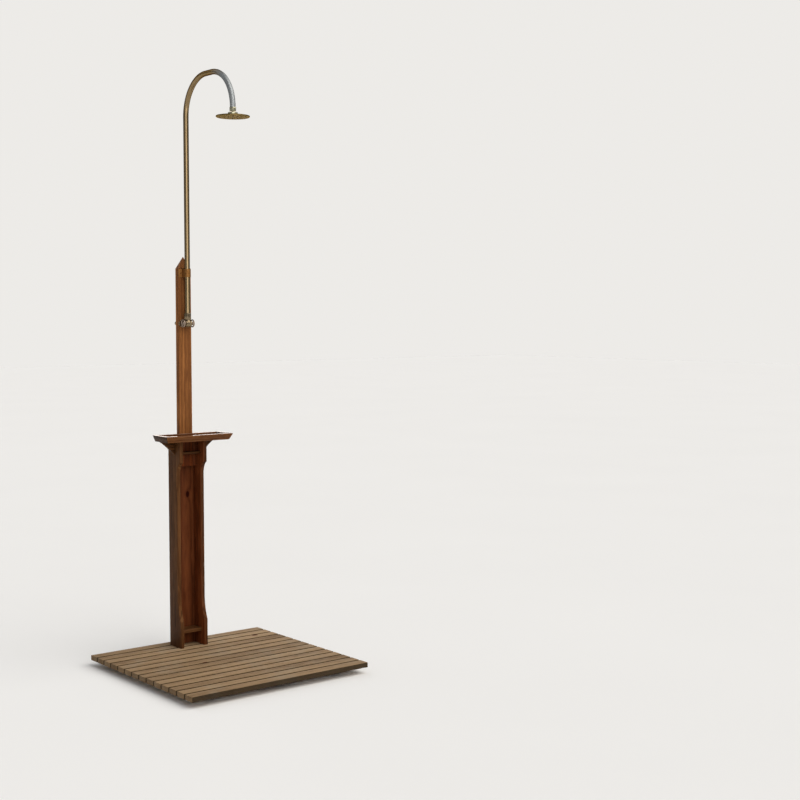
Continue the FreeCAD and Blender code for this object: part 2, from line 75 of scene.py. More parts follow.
# ---- settings ---------------------------------------------------------------------
def tone_setting(name, description, tone):
    """A colour that the sidebar shows. Its tone is written as 0 to 255 on screen."""
    return FloatVectorProperty(name=name, description=description, subtype="COLOR_GAMMA",
                               size=3, min=0.0, max=1.0, default=[part / 255 for part in tone])


def tone_of(setting):
    """A colour setting as a tone again, 0 to 255 on screen."""
    return tuple(round(part * 255, 2) for part in setting)


class ShowerSettings(bpy.types.PropertyGroup):
    slat_rounding: FloatProperty(
        name="Slat rounding", description="Radius of the deck slats' long edges",
        default=0.003, min=0.0005, max=0.006, subtype="DISTANCE", unit="LENGTH")
    board_rounding: FloatProperty(
        name="Board rounding", description="Radius of the planed boards' edges",
        default=0.0014, min=0.0002, max=0.004, subtype="DISTANCE", unit="LENGTH")
    metal_rounding: FloatProperty(
        name="Metal rounding", description="Radius of the edges of nuts, strap and plate",
        default=0.0006, min=0.0001, max=0.002, subtype="DISTANCE", unit="LENGTH")
    tube_sides: IntProperty(
        name="Tube sides", description="Faces around the riser and other turned metal",
        default=64, min=16, max=128)
    bend_steps: IntProperty(
        name="Bend steps", description="Rings in each quarter turn of the riser",
        default=56, min=12, max=128)
    thread_pitch: FloatProperty(
        name="Thread pitch", description="Pitch of the pipe threads at the inlets",
        default=0.001337, min=0.0005, max=0.003, subtype="DISTANCE", unit="LENGTH")
    floor_size: FloatProperty(
        name="Floor size", description="Width of the pale floor under the deck",
        default=60.0, min=4.0, max=200.0, subtype="DISTANCE", unit="LENGTH")
    slat_tone: tone_setting("Deck", "Middle tone of the weathered slats", (148, 122, 92))
    column_tone: tone_setting("Column", "Middle tone of left cheek, ledge and shelf", (83, 52, 27))
    post_tone: tone_setting("Upper post", "Middle tone of the oiled upper post", (154, 100, 54))
    tray_tone: tone_setting("Tray", "Middle tone of the tray's front and floor", (116, 74, 40))
    riser_tone: tone_setting("Riser", "Tone of the riser's plain bronze", (141, 120, 88))
    valve_tone: tone_setting("Valve", "Tone of the valve's plain brass", (134, 117, 92))
    nozzle_tone: tone_setting("Nozzles", "Tone of the soft nozzles", (46, 40, 32))
    backdrop_tone: tone_setting("Backdrop", "Tone behind the object", (237, 235, 231.6))


# ---- mesh helpers -----------------------------------------------------------------
def finish_piece(name, bm, body, nodes, material, smooth_under=40.0):
    """Turns a bmesh into an object that rides on a body and stands for CAD nodes."""
    bmesh.ops.recalc_face_normals(bm, faces=bm.faces)
    limit = math.radians(smooth_under)
    for face in bm.faces:
        face.smooth = True
    for edge in bm.edges:
        edge.smooth = len(edge.link_faces) == 2 and edge.calc_face_angle(0.0) < limit
    mesh = bpy.data.meshes.new(name)
    bm.to_mesh(mesh)
    bm.free()
    obj = bpy.data.objects.new(name, mesh)
    bpy.context.scene.collection.objects.link(obj)
    mesh.materials.append(material)
    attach(obj, body)
    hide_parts(*nodes)
    return obj


def dress(node, material):
    """Gives a CAD node that stays visible its finish."""
    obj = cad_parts[node]
    obj.data.materials.clear()
    obj.data.materials.append(material)


def cad_copy(node):
    """A welded copy of a CAD node's mesh, its flat faces made whole again."""
    bm = bmesh.new()
    bm.from_mesh(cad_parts[node].data)
    bmesh.ops.remove_doubles(bm, verts=bm.verts, dist=1e-6)
    bmesh.ops.dissolve_limit(bm, angle_limit=math.radians(0.3), verts=bm.verts, edges=bm.edges)
    return bm


def round_edges(bm, radius, chosen=None, least_angle=25.0, segments=3):
    """Rounds the sharp edges, or those of them that chosen accepts."""
    limit = math.radians(least_angle)
    sharp = [e for e in bm.edges if len(e.link_faces) == 2 and e.calc_face_angle(0.0) > limit]
    if chosen is not None:
        sharp = [e for e in sharp if chosen(e)]
    bmesh.ops.bevel(bm, geom=sharp, offset=radius, segments=segments, profile=0.5,
                    affect="EDGES", clamp_overlap=True, material=-1)


def long_edge(length):
    return lambda edge: edge.calc_length() > length


def run_of(edge):
    return (edge.verts[1].co - edge.verts[0].co).normalized()


def middle_of(edge):
    return (edge.verts[0].co + edge.verts[1].co) / 2


def merge(bm, part):
    """Adds one bmesh's shapes to another."""
    mesh = bpy.data.meshes.new("part")
    part.to_mesh(mesh)
    part.free()
    bm.from_mesh(mesh)
    bpy.data.meshes.remove(mesh)


def box_shape(low, high):
    bm = bmesh.new()
    low, high = Vector(low), Vector(high)
    place = Matrix.Translation((low + high) / 2) @ Matrix.Diagonal((*(high - low), 1.0))
    bmesh.ops.create_cube(bm, size=1.0, matrix=place)
    return bm


def along(axis, origin=(0, 0, 0)):
    """The placement that takes local Z to the axis, from an origin."""
    return Matrix.Translation(origin) @ Vector(axis).to_track_quat("Z", "Y").to_matrix().to_4x4()


def turned(profile, place, sides=64):
    """A solid of revolution. The profile is a list of (radius, height) in millimetres,
    which starts and ends on the axis, or closes on itself where it never meets it."""
    bm = bmesh.new()
    verts = [bm.verts.new((r * MM, 0, h * MM)) for r, h in profile]
    edges = [bm.edges.new(pair) for pair in zip(verts, verts[1:])]
    if profile[0][0] > 0:
        edges.append(bm.edges.new((verts[-1], verts[0])))
    bmesh.ops.spin(bm, geom=verts + edges, cent=(0, 0, 0), axis=(0, 0, 1), dvec=(0, 0, 0),
                   angle=math.tau, steps=sides, use_merge=True)
    bmesh.ops.remove_doubles(bm, verts=bm.verts, dist=1e-7)
    bmesh.ops.transform(bm, matrix=place, verts=bm.verts)
    return bm


def arc(centre_r, centre_h, radius, start, end, steps=6):
    """Profile points along an arc, angles in degrees from the outward direction."""
    points = []
    for k in range(steps + 1):
        angle = math.radians(start + (end - start) * k / steps)
        points.append((centre_r + radius * math.cos(angle), centre_h + radius * math.sin(angle)))
    return points


def hexagon(across_flats, low, high, place, rounding):
    """A six-sided nut or headwork with rounded edges, flats along local Y."""
    bm = bmesh.new()
    depth = (high - low) * MM
    radius = across_flats * MM / math.sqrt(3.0)
    lift = Matrix.Translation((0, 0, (low + high) / 2 * MM))
    bmesh.ops.create_cone(bm, cap_ends=True, segments=6, radius1=radius, radius2=radius,
                          depth=depth, matrix=lift)
    round_edges(bm, rounding, least_angle=50.0)
    bmesh.ops.transform(bm, matrix=place, verts=bm.verts)
    return bm


def screw_head(place, radius, height):
    """A domed screw head with a slot across it, from the seat at local Z 0. Millimetres."""
    bm = bmesh.new()
    slot_half, slot_depth = radius * 0.14, height * 0.45
    wall = height * 0.35
    dome = [(0, 0), (radius, 0), (radius, wall)]
    dome += [(radius * math.cos(t), wall + (height - wall) * math.sin(t))
             for t in (math.radians(d) for d in (20, 40, 60, 78))]
    dome.append((0, height))
    for side in (-1, 1):
        half = turned(dome, Matrix.Identity(4), 24)
        geom = half.verts[:] + half.edges[:] + half.faces[:]
        cut = bmesh.ops.bisect_plane(half, geom=geom, plane_co=(side * slot_half * MM, 0, 0),
                                     plane_no=(-side, 0, 0), clear_outer=True)
        rim = [e for e in cut["geom_cut"] if isinstance(e, bmesh.types.BMEdge)]
        bmesh.ops.holes_fill(half, edges=rim)
        merge(bm, half)
    corner = Vector((slot_half * 1.05, radius * 0.9, height - slot_depth)) * MM
    merge(bm, box_shape((-corner.x, -corner.y, 0), corner))
    bmesh.ops.transform(bm, matrix=place, verts=bm.verts)
    return bm


# ---- shader maths -----------------------------------------------------------------
class Signal:
    """A shader socket that can be used in ordinary arithmetic."""

    def __init__(self, tree, socket=None):
        self.tree = tree
        self.socket = socket

    def make(self, kind, values=None, out=0, **settings):
        """Any other node: its type, its settings, and the values or links of its inputs."""
        node = self.tree.nodes.new(kind)
        for key, value in settings.items():
            setattr(node, key, value)
        for key, value in (values or {}).items():
            if isinstance(value, Signal):
                self.tree.links.new(value.socket, node.inputs[key])
            else:
                node.inputs[key].default_value = value
        return Signal(self.tree, node.outputs[out])

    def math(self, operation, *terms):
        return self.make("ShaderNodeMath", dict(enumerate(terms)), operation=operation)

    def __add__(self, other):
        return self.math("ADD", self, other)

    def __sub__(self, other):
        return self.math("SUBTRACT", self, other)

    def __rsub__(self, other):
        return self.math("SUBTRACT", other, self)

    def __mul__(self, other):
        return self.math("MULTIPLY", self, other)

    def __truediv__(self, other):
        return self.math("DIVIDE", self, other)

    def __rtruediv__(self, other):
        return self.math("DIVIDE", other, self)

    def __pow__(self, other):
        return self.math("POWER", self, other)

    def __floor__(self):
        return self.math("FLOOR", self)

    def __abs__(self):
        return self.math("ABSOLUTE", self)

    __radd__ = __add__
    __rmul__ = __mul__

    def between(self, low, high):
        """0 at low, 1 at high, smooth and clamped in between. Low may be the larger."""
        return self.make("ShaderNodeMapRange", {0: self, 1: low, 2: high},
                         interpolation_type="SMOOTHSTEP")

    def noise(self, scale, detail=3.0, roughness=0.5, distortion=0.0):
        """Noise over this vector, spread so that it fills 0 to 1."""
        raw = self.make("ShaderNodeTexNoise",
                        {"Vector": self, "Scale": scale, "Detail": detail,
                         "Roughness": roughness, "Distortion": distortion})
        return self.make("ShaderNodeMapRange", {0: raw, 1: 0.28, 2: 0.72})

    def stretched(self, scale, shift=(0.0, 0.0, 0.0)):
        return self.make("ShaderNodeMapping", {"Vector": self, "Location": shift, "Scale": scale})

    def mix(self, first, second):
        """The colour between first and second, by this factor."""
        return self.make("ShaderNodeMix", {0: self, 6: first, 7: second}, out=2, data_type="RGBA")

    def shade(self, colour, by):
        """The colour multiplied by the colour or grey of by, as far as this factor."""
        return self.make("ShaderNodeMix", {0: self, 6: colour, 7: by}, out=2,
                         data_type="RGBA", blend_type="MULTIPLY")


def srgb(red, green, blue):
    """A colour written as 0 to 255 on screen, in linear light."""
    def linear(value):
        value = value / 255.0
        return value / 12.92 if value <= 0.04045 else ((value + 0.055) / 1.055) ** 2.4
    return (linear(red), linear(green), linear(blue), 1.0)


def grey(value):
    return (value, value, value, 1.0)


def new_material(name, constants):
    """A material with a principled shader. Returns it, its shader node and a Signal."""
    material = bpy.data.materials.new(name)
    material.use_nodes = True
    tree = material.node_tree
    tree.nodes.clear()
    output = tree.nodes.new("ShaderNodeOutputMaterial")
    shader = tree.nodes.new("ShaderNodeBsdfPrincipled")
    tree.links.new(shader.outputs[0], output.inputs["Surface"])
    for key, value in constants.items():
        shader.inputs[key].default_value = value
    return material, shader, Signal(tree)


def feed(shader, **signals):
    """Links signals to the shader's inputs, named with _ for each space."""
    for key, signal in signals.items():
        signal.tree.links.new(signal.socket, shader.inputs[key.replace("_", " ")])


def worn_edges(graph, radius):
    """0 on flat ground, up to 1 on edges that stick out or in, within a radius."""
    soft = graph.make("ShaderNodeBevel", {"Radius": radius}, samples=4)
    true = graph.make("ShaderNodeNewGeometry", out="Normal")
    dot = graph.make("ShaderNodeVectorMath", {0: soft, 1: true}, out="Value",
                     operation="DOT_PRODUCT")
    return (1.0 - dot).between(0.01, 0.22)


def wood(name, axis, tones, seed=0.0, ring=7.0, pith=(0.02, -0.05), pitch=0.0, knots=(),
         roughness=(0.5, 0.68), sheen=0.0, weather=0.0, figure=1.0, edge=(1.25, 0.5),
         spread=1.0, sides=0.0, darken_below=None, bounce_lit_side=0):
    """Sawn timber with its grain along an axis (0, 1 or 2). Tones are dark, middle and
    light. Rings are ring millimetres apart round a pith that lies off the board, and figure
    is how strongly they show. A pitch above 0 cuts the grain into boards along Y, whose
    tints differ by spread. Knots are (place, radius) in metres. Sheen is the varnish,
    mostly on faces that look up, and weather is how grey the wood has become. Edge is the
    tone of the edges and how much of it shows. It is wear. On the deck the tone is darker:
    dirt, with painted shade at the gaps. On the tray it is lighter, with a painted highlight
    along the rim. Sides is how much painted shade darkens the faces that look along Y.
    Darken_below is two heights, between which the wood gets darker and redder going down,
    and the tone that multiplies it. Bounce_lit_side is -1 or 1, the way along X that a face
    looks which takes painted bounce light, a lighter, redder tone as if lit by light thrown
    back from the boards."""
    material, shader, graph = new_material(name, {
        "IOR": 1.5, "Specular IOR Level": 0.05, "Coat Roughness": 0.16, "Coat IOR": 1.45})
    place = graph.make("ShaderNodeTexCoord", out="Object")
    parts = graph.make("ShaderNodeSeparateXYZ", {0: place})
    coordinate = [Signal(graph.tree, parts.socket.node.outputs[k]) for k in range(3)]
    if pitch:
        board = math.floor((coordinate[1] + DECK_HALF) / pitch)
    else:
        board = coordinate[0] * 0.0
    tint = graph.make("ShaderNodeTexWhiteNoise", {"W": board + seed}, noise_dimensions="1D")
    run = coordinate[axis] + (board + seed) * 5.31
    across = [coordinate[k] for k in range(3) if k != axis]
    if pitch:
        across[0] = across[0] - board * pitch

    def grained(stretch, lift=0.0):
        return graph.make("ShaderNodeCombineXYZ",
                          {0: run * stretch + lift, 1: across[0], 2: across[1]})

    sway = grained(0.09).noise(14.0, 2.0, 0.45)
    wander = grained(0.16, 3.0).noise(48.0, 3.0, 0.55)
    fibre = grained(0.02, 7.0).noise(950.0, 2.0, 0.6)
    pores = grained(0.035, 11.0).noise(620.0, 1.0, 0.5)
    patch = place.noise(9.0, 4.0, 0.6)

    knot = coordinate[0] * 0.0
    bend = coordinate[0] * 0.0
    for centre, radius in knots:
        offset = [coordinate[k] - centre[k] for k in range(3)]
        offset[axis] = offset[axis] * 0.62
        far = (offset[0] * offset[0] + offset[1] * offset[1] + offset[2] * offset[2]) ** 0.5
        far = far + (wander - 0.5) * radius * 0.3
        knot = knot.math("MAXIMUM", knot, far.between(radius * 1.15, radius * 0.7))
        bend = bend + far.between(radius * 3.2, radius * 0.9) * radius

    first = across[0] - pith[0] + (sway - 0.5) * 0.016 + (tint - 0.5) * (0.03 if pitch else 0.0)
    second = across[1] - pith[1] + (wander - 0.5) * 0.006
    reach = (first * first + second * second) ** 0.5 + bend * 0.8
    phase = reach * (math.tau / (ring * MM)) + (wander - 0.5) * 1.6
    late = phase.math("SINE", phase) * 0.5 + 0.5
    late = late ** 2.2

    light = 0.5 + (sway - 0.5) * 0.45 + (tint - 0.5) * spread * 0.5 + (fibre - 0.5) * 0.34
    light = light - late * 0.42 * figure + (wander - 0.5) * 0.42 * figure
    dark_half = light.between(0.0, 0.5).mix(srgb(*tones[0]), srgb(*tones[1]))
    colour = light.between(0.42, 1.0).mix(dark_half, srgb(*tones[2]))
    colour = (pores.between(0.24, 0.05) * 0.5).shade(colour, grey(0.55))
    if weather:
        colour = (patch.between(0.42, 0.95) * weather).mix(colour, srgb(150, 138, 120))
        grime = place.noise(34.0, 5.0, 0.65)
        colour = (grime.between(0.66, 0.98) * weather * 0.8).shade(colour, grey(0.6))
    edges = worn_edges(graph, 0.0032)
    # The edges take the edge tone. It is wear. On the deck the tone is darker: dirt, with painted
    # shade at the gaps. On the tray it is lighter, with a painted highlight along the rim.
    edge_wear_and_painted_light = edges * place.noise(60.0, 4.0, 0.6).between(0.15, 0.7)
    colour = (edge_wear_and_painted_light * edge[1]).mix(colour, srgb(*[min(255, int(t * edge[0])) for t in tones[2]]))
    normal = graph.make("ShaderNodeNewGeometry", out="Normal")
    facing = graph.make("ShaderNodeSeparateXYZ", {0: normal})
    faces = [Signal(graph.tree, facing.socket.node.outputs[k]) for k in range(3)]
    end = abs(faces[axis]).between(0.6, 0.85)
    # Painted bounce light: the face that looks this way along X is a cheek's inner face in the
    # recess. It takes a lighter, redder tone, as if lit by light thrown back from the boards round
    # it.
    if bounce_lit_side:
        bounce_mask = (faces[0] * bounce_lit_side).between(0.5, 0.9)
        colour = (bounce_mask * 0.85).mix(colour, light.mix(srgb(88, 42, 20), srgb(172, 98, 54)))
    # Below the two heights the wood is multiplied by a darker, redder tone.
    if darken_below:
        lower_part = (coordinate[2] + (wander - 0.5) * 0.01).between(*darken_below[0])
        colour = lower_part.shade(colour, srgb(*darken_below[1]))
    # Painted shade: faces that look along Y, the slats' sides at the gaps and the deck's front
    # edge, are darkened as if they were in shade.
    if sides:
        colour = (abs(faces[1]).between(0.12, 0.55) * sides).shade(colour, grey(0.12))
    colour = (end * 0.75).shade(colour, (late * 0.5 + 0.4).mix(grey(0.42), grey(0.85)))
    colour = knot.shade(colour, (0.3 + fibre * 0.4).mix(srgb(110, 40, 14), srgb(150, 84, 44)))

    worn = 0.35 * fibre + 0.3 * patch + 0.35 * late
    rough = roughness[0] + (roughness[1] - roughness[0]) * worn
    rough = rough + edges * 0.08 + end * 0.1 + knot * 0.05
    height = fibre * 0.35 - late * 0.35 * figure - pores.between(0.24, 0.05) * 0.5
    bump = graph.make("ShaderNodeBump", {"Strength": 0.5, "Distance": 0.0007, "Height": height})
    feed(shader, Base_Color=colour, Roughness=rough, Normal=bump)
    if sheen:
        above = faces[2].between(0.2, 0.8) * 0.92 + 0.08
        feed(shader, Coat_Weight=sheen * above * (0.6 + patch * 0.4))
    return material


def metal(name, tones, roughness, age=0.5, brush=None, spots=0.3, scale=1.0, edge=0.5,
          painted_sky=None, bump=0.22, rim=(200, 190, 170)):
    """Old metal. Tones are the patina, the plain metal and the rubbed bright metal. Age is
    how much of it has patina, and spots are the pale marks that water leaves. Brush is the
    axis along which it was polished. Painted_sky is two places along Y, between which the
    metal turns duller and takes a painted reflection of the sky, and that colour. Rim is the
    tint of its grazing reflections."""
    material, shader, graph = new_material(name, {"Metallic": 1.0, "Specular Tint": srgb(*rim)})
    place = graph.make("ShaderNodeTexCoord", out="Object")
    cloud = place.noise(22.0 * scale, 6.0, 0.62, 0.4)
    fine = place.noise(160.0 * scale, 4.0, 0.6)
    speck = place.noise(520.0, 2.0, 0.5)
    stretch = [1.0, 1.0, 1.0]
    if brush is not None:
        stretch[brush] = 0.03
    streak = place.stretched(tuple(stretch), (0.3, 0.7, 0.2)).noise(900.0, 2.0, 0.6)
    tarnish = (cloud * 0.62 + fine * 0.38).between(0.72 - age * 0.5, 1.0 - age * 0.3)
    colour = tarnish.mix(srgb(*tones[1]), srgb(*tones[0]))
    colour = (streak.between(0.5, 1.0) * 0.22).mix(colour, srgb(*tones[2]))
    edges = worn_edges(graph, 0.0016)
    colour = (edges * edge * (0.4 + fine * 0.6)).mix(colour, srgb(*tones[2]))
    cells = place.make("ShaderNodeTexVoronoi", {"Vector": place, "Scale": 75.0 * scale},
                       out="Distance")
    mark = cells.between(0.22, 0.12) * cloud.between(0.45, 0.75) * spots
    colour = mark.mix(colour, srgb(*[min(255, int(t * 0.55 + 95)) for t in tones[1]]))
    # Painted reflection: between the two places along Y the colour turns to the pale blue-grey of a
    # reflected sky. The roughness rises there too.
    if painted_sky:
        parts = graph.make("ShaderNodeSeparateXYZ", {0: place}, out="Y")
        sky_side = (parts + (cloud - 0.5) * 0.03).between(*painted_sky[0])
        colour = (sky_side * (0.9 - tarnish * 0.4)).mix(colour, srgb(*painted_sky[1]))
    rough = roughness[0] + (roughness[1] - roughness[0]) * (tarnish * 0.7 + fine * 0.3)
    rough = rough + mark * 0.18 + speck * 0.03 - edges * 0.04
    if painted_sky:
        rough = rough + sky_side * 0.32
    height = streak * 0.25 + speck * 0.3 - tarnish * 0.6 + mark * 0.4
    relief = graph.make("ShaderNodeBump", {"Strength": bump, "Distance": 0.0002, "Height": height})
    feed(shader, Base_Color=colour, Roughness=rough, Normal=relief)
    return material


def moulded(name, tone, roughness):
    """Rubber or silicone with a dusty bloom."""
    material, shader, graph = new_material(name, {"IOR": 1.45, "Specular IOR Level": 0.4})
    place = graph.make("ShaderNodeTexCoord", out="Object")
    grain = place.noise(1800.0, 3.0, 0.6)
    bloom = place.noise(120.0, 5.0, 0.65)
    edges = worn_edges(graph, 0.0006)
    pale = srgb(*[min(255, t + 60) for t in tone])
    colour = (bloom.between(0.4, 1.0) * 0.5 + edges * 0.3).mix(srgb(*tone), pale)
    rough = roughness + bloom * 0.18 + grain * 0.06
    bump = graph.make("ShaderNodeBump", {"Strength": 0.3, "Distance": 0.0001, "Height": grain})
    feed(shader, Base_Color=colour, Roughness=rough, Normal=bump)
    return material


# The finish of the boards that were only oiled.
OILED = {"roughness": (0.42, 0.58), "sheen": 0.12}


# ---- deck -------------------------------------------------------------------------
class SHOWER_OT_deck(bpy.types.Operator):
    """Slats with rounded edges, on two raked bearers and the plank under the column"""
    bl_idname = "shower.deck"
    bl_label = "Deck"

    def execute(self, context):
        settings = context.scene.shower_post
        slats = sorted(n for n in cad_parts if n.startswith("deck_slat_"))
        if not slats:
            raise ValueError("the frame has no deck slats")
        pitch = (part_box(slats[1])[0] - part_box(slats[0])[0]).y
        sawn_end = 0.7 * MM
        # The slats carry painted shade. Their faces that look along Y are darkened, and their edges
        # take a darker tone: dirt, with painted shade at the gaps.
        slat_wood = wood(
            "weathered_slats", 0, ((113, 90, 66), tone_of(settings.slat_tone), (180, 153, 119)),
            seed=2.0, ring=6.5, pith=(-0.375, -0.02), pitch=pitch, roughness=(0.6, 0.82),
            weather=0.3, knots=(((0.308, 0.276, 0.045), 0.010), ((-0.104, 0.005, 0.045), 0.007)),
            figure=0.4, edge=(0.6, 0.4), spread=0.25, sides=0.95)
        for name in slats:
            bm = box_shape(*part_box(name))
            round_edges(bm, settings.slat_rounding, lambda e: abs(run_of(e).x) > 0.9, segments=5)
            round_edges(bm, sawn_end, lambda e: abs(middle_of(e).x) > DECK_HALF - 0.1 * MM,
                        50.0, 2)
            finish_piece(name + "_planed", bm, "post", [name], slat_wood, 50.0)
        sawn = wood("rough_bearers", 1, ((66, 50, 36), (112, 88, 64), (150, 122, 90)), seed=9.0,
                    ring=9.0, pith=(0.03, -0.03), roughness=(0.72, 0.9), weather=0.3)
        for name in ("deck_bearer_left", "deck_base_plank", "deck_bearer_right"):
            bm = cad_copy(name)
            round_edges(bm, settings.board_rounding, least_angle=10.0)
            finish_piece(name + "_sawn", bm, "post", [name], sawn, 50.0)
        return {"FINISHED"}


# ---- column -----------------------------------------------------------------------
class SHOWER_OT_column(bpy.types.Operator):
    """Curved cheeks, the boards between them, and the tapered upper post on its packers"""
    bl_idname = "shower.column"
    bl_label = "Column and post"

    def execute(self, context):
        settings = context.scene.shower_post
        side_tones = ((56, 33, 15), tone_of(settings.column_tone), (112, 74, 42))
        right_tones = ((60, 33, 16), (88, 51, 28), (116, 72, 43))
        panel_tones = ((58, 27, 11), (86, 43, 21), (114, 63, 34))
        post_tones = ((114, 70, 37), tone_of(settings.post_tone), (187, 131, 78))
        # Each cheek's inner face gets painted bounce light, a lighter and redder tone.
        boards = {
            "left_cheek": wood("cheek_left_wood", 2, side_tones, 3.0, 11.0, (0.02, -0.02),
                               bounce_lit_side=1, **OILED),
            "right_cheek": wood("cheek_right_wood", 2, right_tones, 5.0, 10.0, (-0.02, 0.03),
                                bounce_lit_side=-1, **OILED),
            "back_panel": wood("panel_wood", 2, panel_tones, 7.0, 17.0, (0.012, 0.31),
                               knots=(((0.018, 0.337, 0.674), 0.0088),),
                               roughness=(0.4, 0.55), sheen=0.12, figure=0.9),
            "foot_ledge": wood("ledge_wood", 0, side_tones, 8.0, 8.0, (0.30, 0.02), **OILED),
            "cubby_shelf": wood("shelf_wood", 0, side_tones, 12.0, 8.0, (0.31, 0.80), **OILED),
        }
        for name, material in boards.items():
            bm = cad_copy(name)
            share = 0.5 if "cheek" in name else 1.0
            chosen = long_edge(50 * MM) if name == "back_panel" else None
            round_edges(bm, settings.board_rounding * share, chosen)
            finish_piece(name + "_planed", bm, "post", [name], material)
        # The upper post turns darker and redder below the height of the tray's rim.
        post_wood = wood("post_wood_oiled", 2, post_tones, 4.0, 13.0, (0.01, 0.30),
                         roughness=(0.4, 0.54), sheen=0.12, figure=0.9,
                         darken_below=((0.93, 0.90), (168, 132, 118)))
        for name in ("post_packer_left", "post_packer_right"):
            bm = box_shape(*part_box(name))
            round_edges(bm, settings.board_rounding * 0.5)
            finish_piece(name + "_planed", bm, "post", [name],
                         boards["back_panel"])
        bm = cad_copy("upper_post")
        round_edges(bm, settings.board_rounding * 0.8, long_edge(12 * MM))
        finish_piece("upper_post_planed", bm, "post", ["upper_post"], post_wood)
        return {"FINISHED"}


# ---- tray -------------------------------------------------------------------------
class SHOWER_OT_tray(bpy.types.Operator):
    """Rails with a rounded rim, mitred at the front corners, the floor and two brackets"""
    bl_idname = "shower.tray"
    bl_label = "Tray"

    def execute(self, context):
        settings = context.scene.shower_post
        front_tones = ((84, 48, 24), tone_of(settings.tray_tone), (150, 102, 62))
        # Painted shade: the end rails take a darker copy of the rails' wood, since their faces look
        # away from the light.
        shaded_end_tones = ((42, 25, 12), (60, 38, 20), (84, 55, 31))
        bracket_tones = ((54, 31, 12), (78, 47, 22), (106, 67, 34))
        # The rails' lighter edge tone is wear together with a painted highlight along the rim.
        finish = {"roughness": (0.4, 0.54), "sheen": 1.0, "edge": (1.4, 0.5)}
        wide = wood("rail_wood_wide", 0, front_tones, 21.0, 6.0, (0.20, 0.90), **finish)
        deep = wood("rail_wood_deep_shaded", 1, shaded_end_tones, 25.0, 6.0, (0.12, 0.90), **finish)
        floor = wood("tray_floor_wood", 0, front_tones, 28.0, 9.0, (0.25, 0.86), **finish)
        corbel = wood("bracket_wood", 0, bracket_tones, 31.0, 8.0, (0.28, 0.86), **OILED)
        pieces = {
            "tray_front_rail": (wide, 1.0), "tray_back_rail": (wide, 1.0),
            "tray_end_rail_left": (deep, 1.0), "tray_end_rail_right": (deep, 1.0),
            "tray_floor": (floor, 0.5), "tray_bracket_left": (corbel, 1.0),
            "tray_bracket_right": (corbel, 1.0),
        }
        for name, (material, share) in pieces.items():
            bm = cad_copy(name)
            round_edges(bm, settings.board_rounding * share)
            finish_piece(name + "_planed", bm, "post", [name], material, 35.0)
        return {"FINISHED"}


# ---- riser ------------------------------------------------------------------------
class SHOWER_OT_riser(bpy.types.Operator):
    """The bent riser in one smooth tube, and the strap that holds it to the post"""
    bl_idname = "shower.riser"
    bl_label = "Riser"

    def execute(self, context):
        settings = context.scene.shower_post
        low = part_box("riser_pipe")[0].z
        into_nut = 2.6 * MM
        bm = bmesh.new()
        foot = Matrix.Translation((0, PIPE_Y, low))
        ring = bmesh.ops.create_circle(bm, cap_ends=False, segments=settings.tube_sides,
                                       radius=PIPE_RADIUS, matrix=foot)
        ends = {e for v in ring["verts"] for e in v.link_edges}

        def straight(edges, offset, steps):
            for _ in range(steps):
                made = bmesh.ops.extrude_edge_only(bm, edges=list(edges))["geom"]
                verts = [g for g in made if isinstance(g, bmesh.types.BMVert)]
                bmesh.ops.translate(bm, verts=verts, vec=Vector(offset) / steps)
                edges = {e for e in made if isinstance(e, bmesh.types.BMEdge)
                         and all(v in verts for v in e.verts)}
            return edges

        def quarter(edges, centre_y, turn):
            verts = list({v for e in edges for v in e.verts})
            made = bmesh.ops.spin(bm, geom=verts + list(edges), cent=(0, centre_y, BEND_Z),
                                  axis=(1, 0, 0), dvec=(0, 0, 0), angle=turn,
                                  steps=settings.bend_steps)["geom_last"]
            return {e for e in made if isinstance(e, bmesh.types.BMEdge)}

        back, front = PIPE_Y - BEND_RADIUS, HEAD_Y + BEND_RADIUS
        edges = straight(ends, (0, 0, BEND_Z - low), 6)
        edges = quarter(edges, back, math.pi / 2)
        edges = straight(edges, (0, front - back, 0), 1)
        edges = quarter(edges, front, math.pi / 2)
        edges = straight(edges, (0, 0, -into_nut), 1)
        bmesh.ops.holes_fill(bm, edges=[e for e in bm.edges if e.is_boundary])
        riser_tones = ((104, 86, 60), tone_of(settings.riser_tone), (174, 152, 116))
        # The riser's front leg takes a painted reflection of the sky, a pale blue-grey.
        tube = metal("riser_bronze", riser_tones, (0.18, 0.28), age=0.15, brush=2, spots=0.0,
                     painted_sky=((0.10, -0.02), (156, 162, 166)), bump=0.03, rim=(90, 75, 50))
        finish_piece("riser_tube", bm, "post", ["riser_pipe"], tube)

        strap_metal = metal("strap_bronze", ((104, 70, 38), (138, 97, 54), (168, 128, 80)),
                            (0.52, 0.68), age=0.3, brush=2, spots=0.1)
        bm = cad_copy("saddle_strap")
        round_edges(bm, settings.metal_rounding * 0.7, long_edge(15.5 * MM), least_angle=60.0)
        low_corner, high_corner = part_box("saddle_strap")
        height = (low_corner.z + high_corner.z) / 2
        strap_thickness = 1.6 * MM
        screw_x = 20.8 * MM
        for x, slot_turn in ((-screw_x, -0.232), (screw_x, 1.432)):
            seat = (x, high_corner.y - strap_thickness, height)
            place = along(-Y_AXIS, seat) @ Matrix.Rotation(slot_turn, 4, "Z")
            merge(bm, screw_head(place, 3.6, 2.2))
        finish_piece("saddle_strap_bent", bm, "post", ["saddle_strap"], strap_metal)
        block = wood("saddle_block_wood", 2, ((86, 52, 26), (114, 74, 40), (142, 100, 60)), 44.0,
                     9.0, (0.02, 0.28), **OILED)
        dress("saddle_block", block)
        return {"FINISHED"}


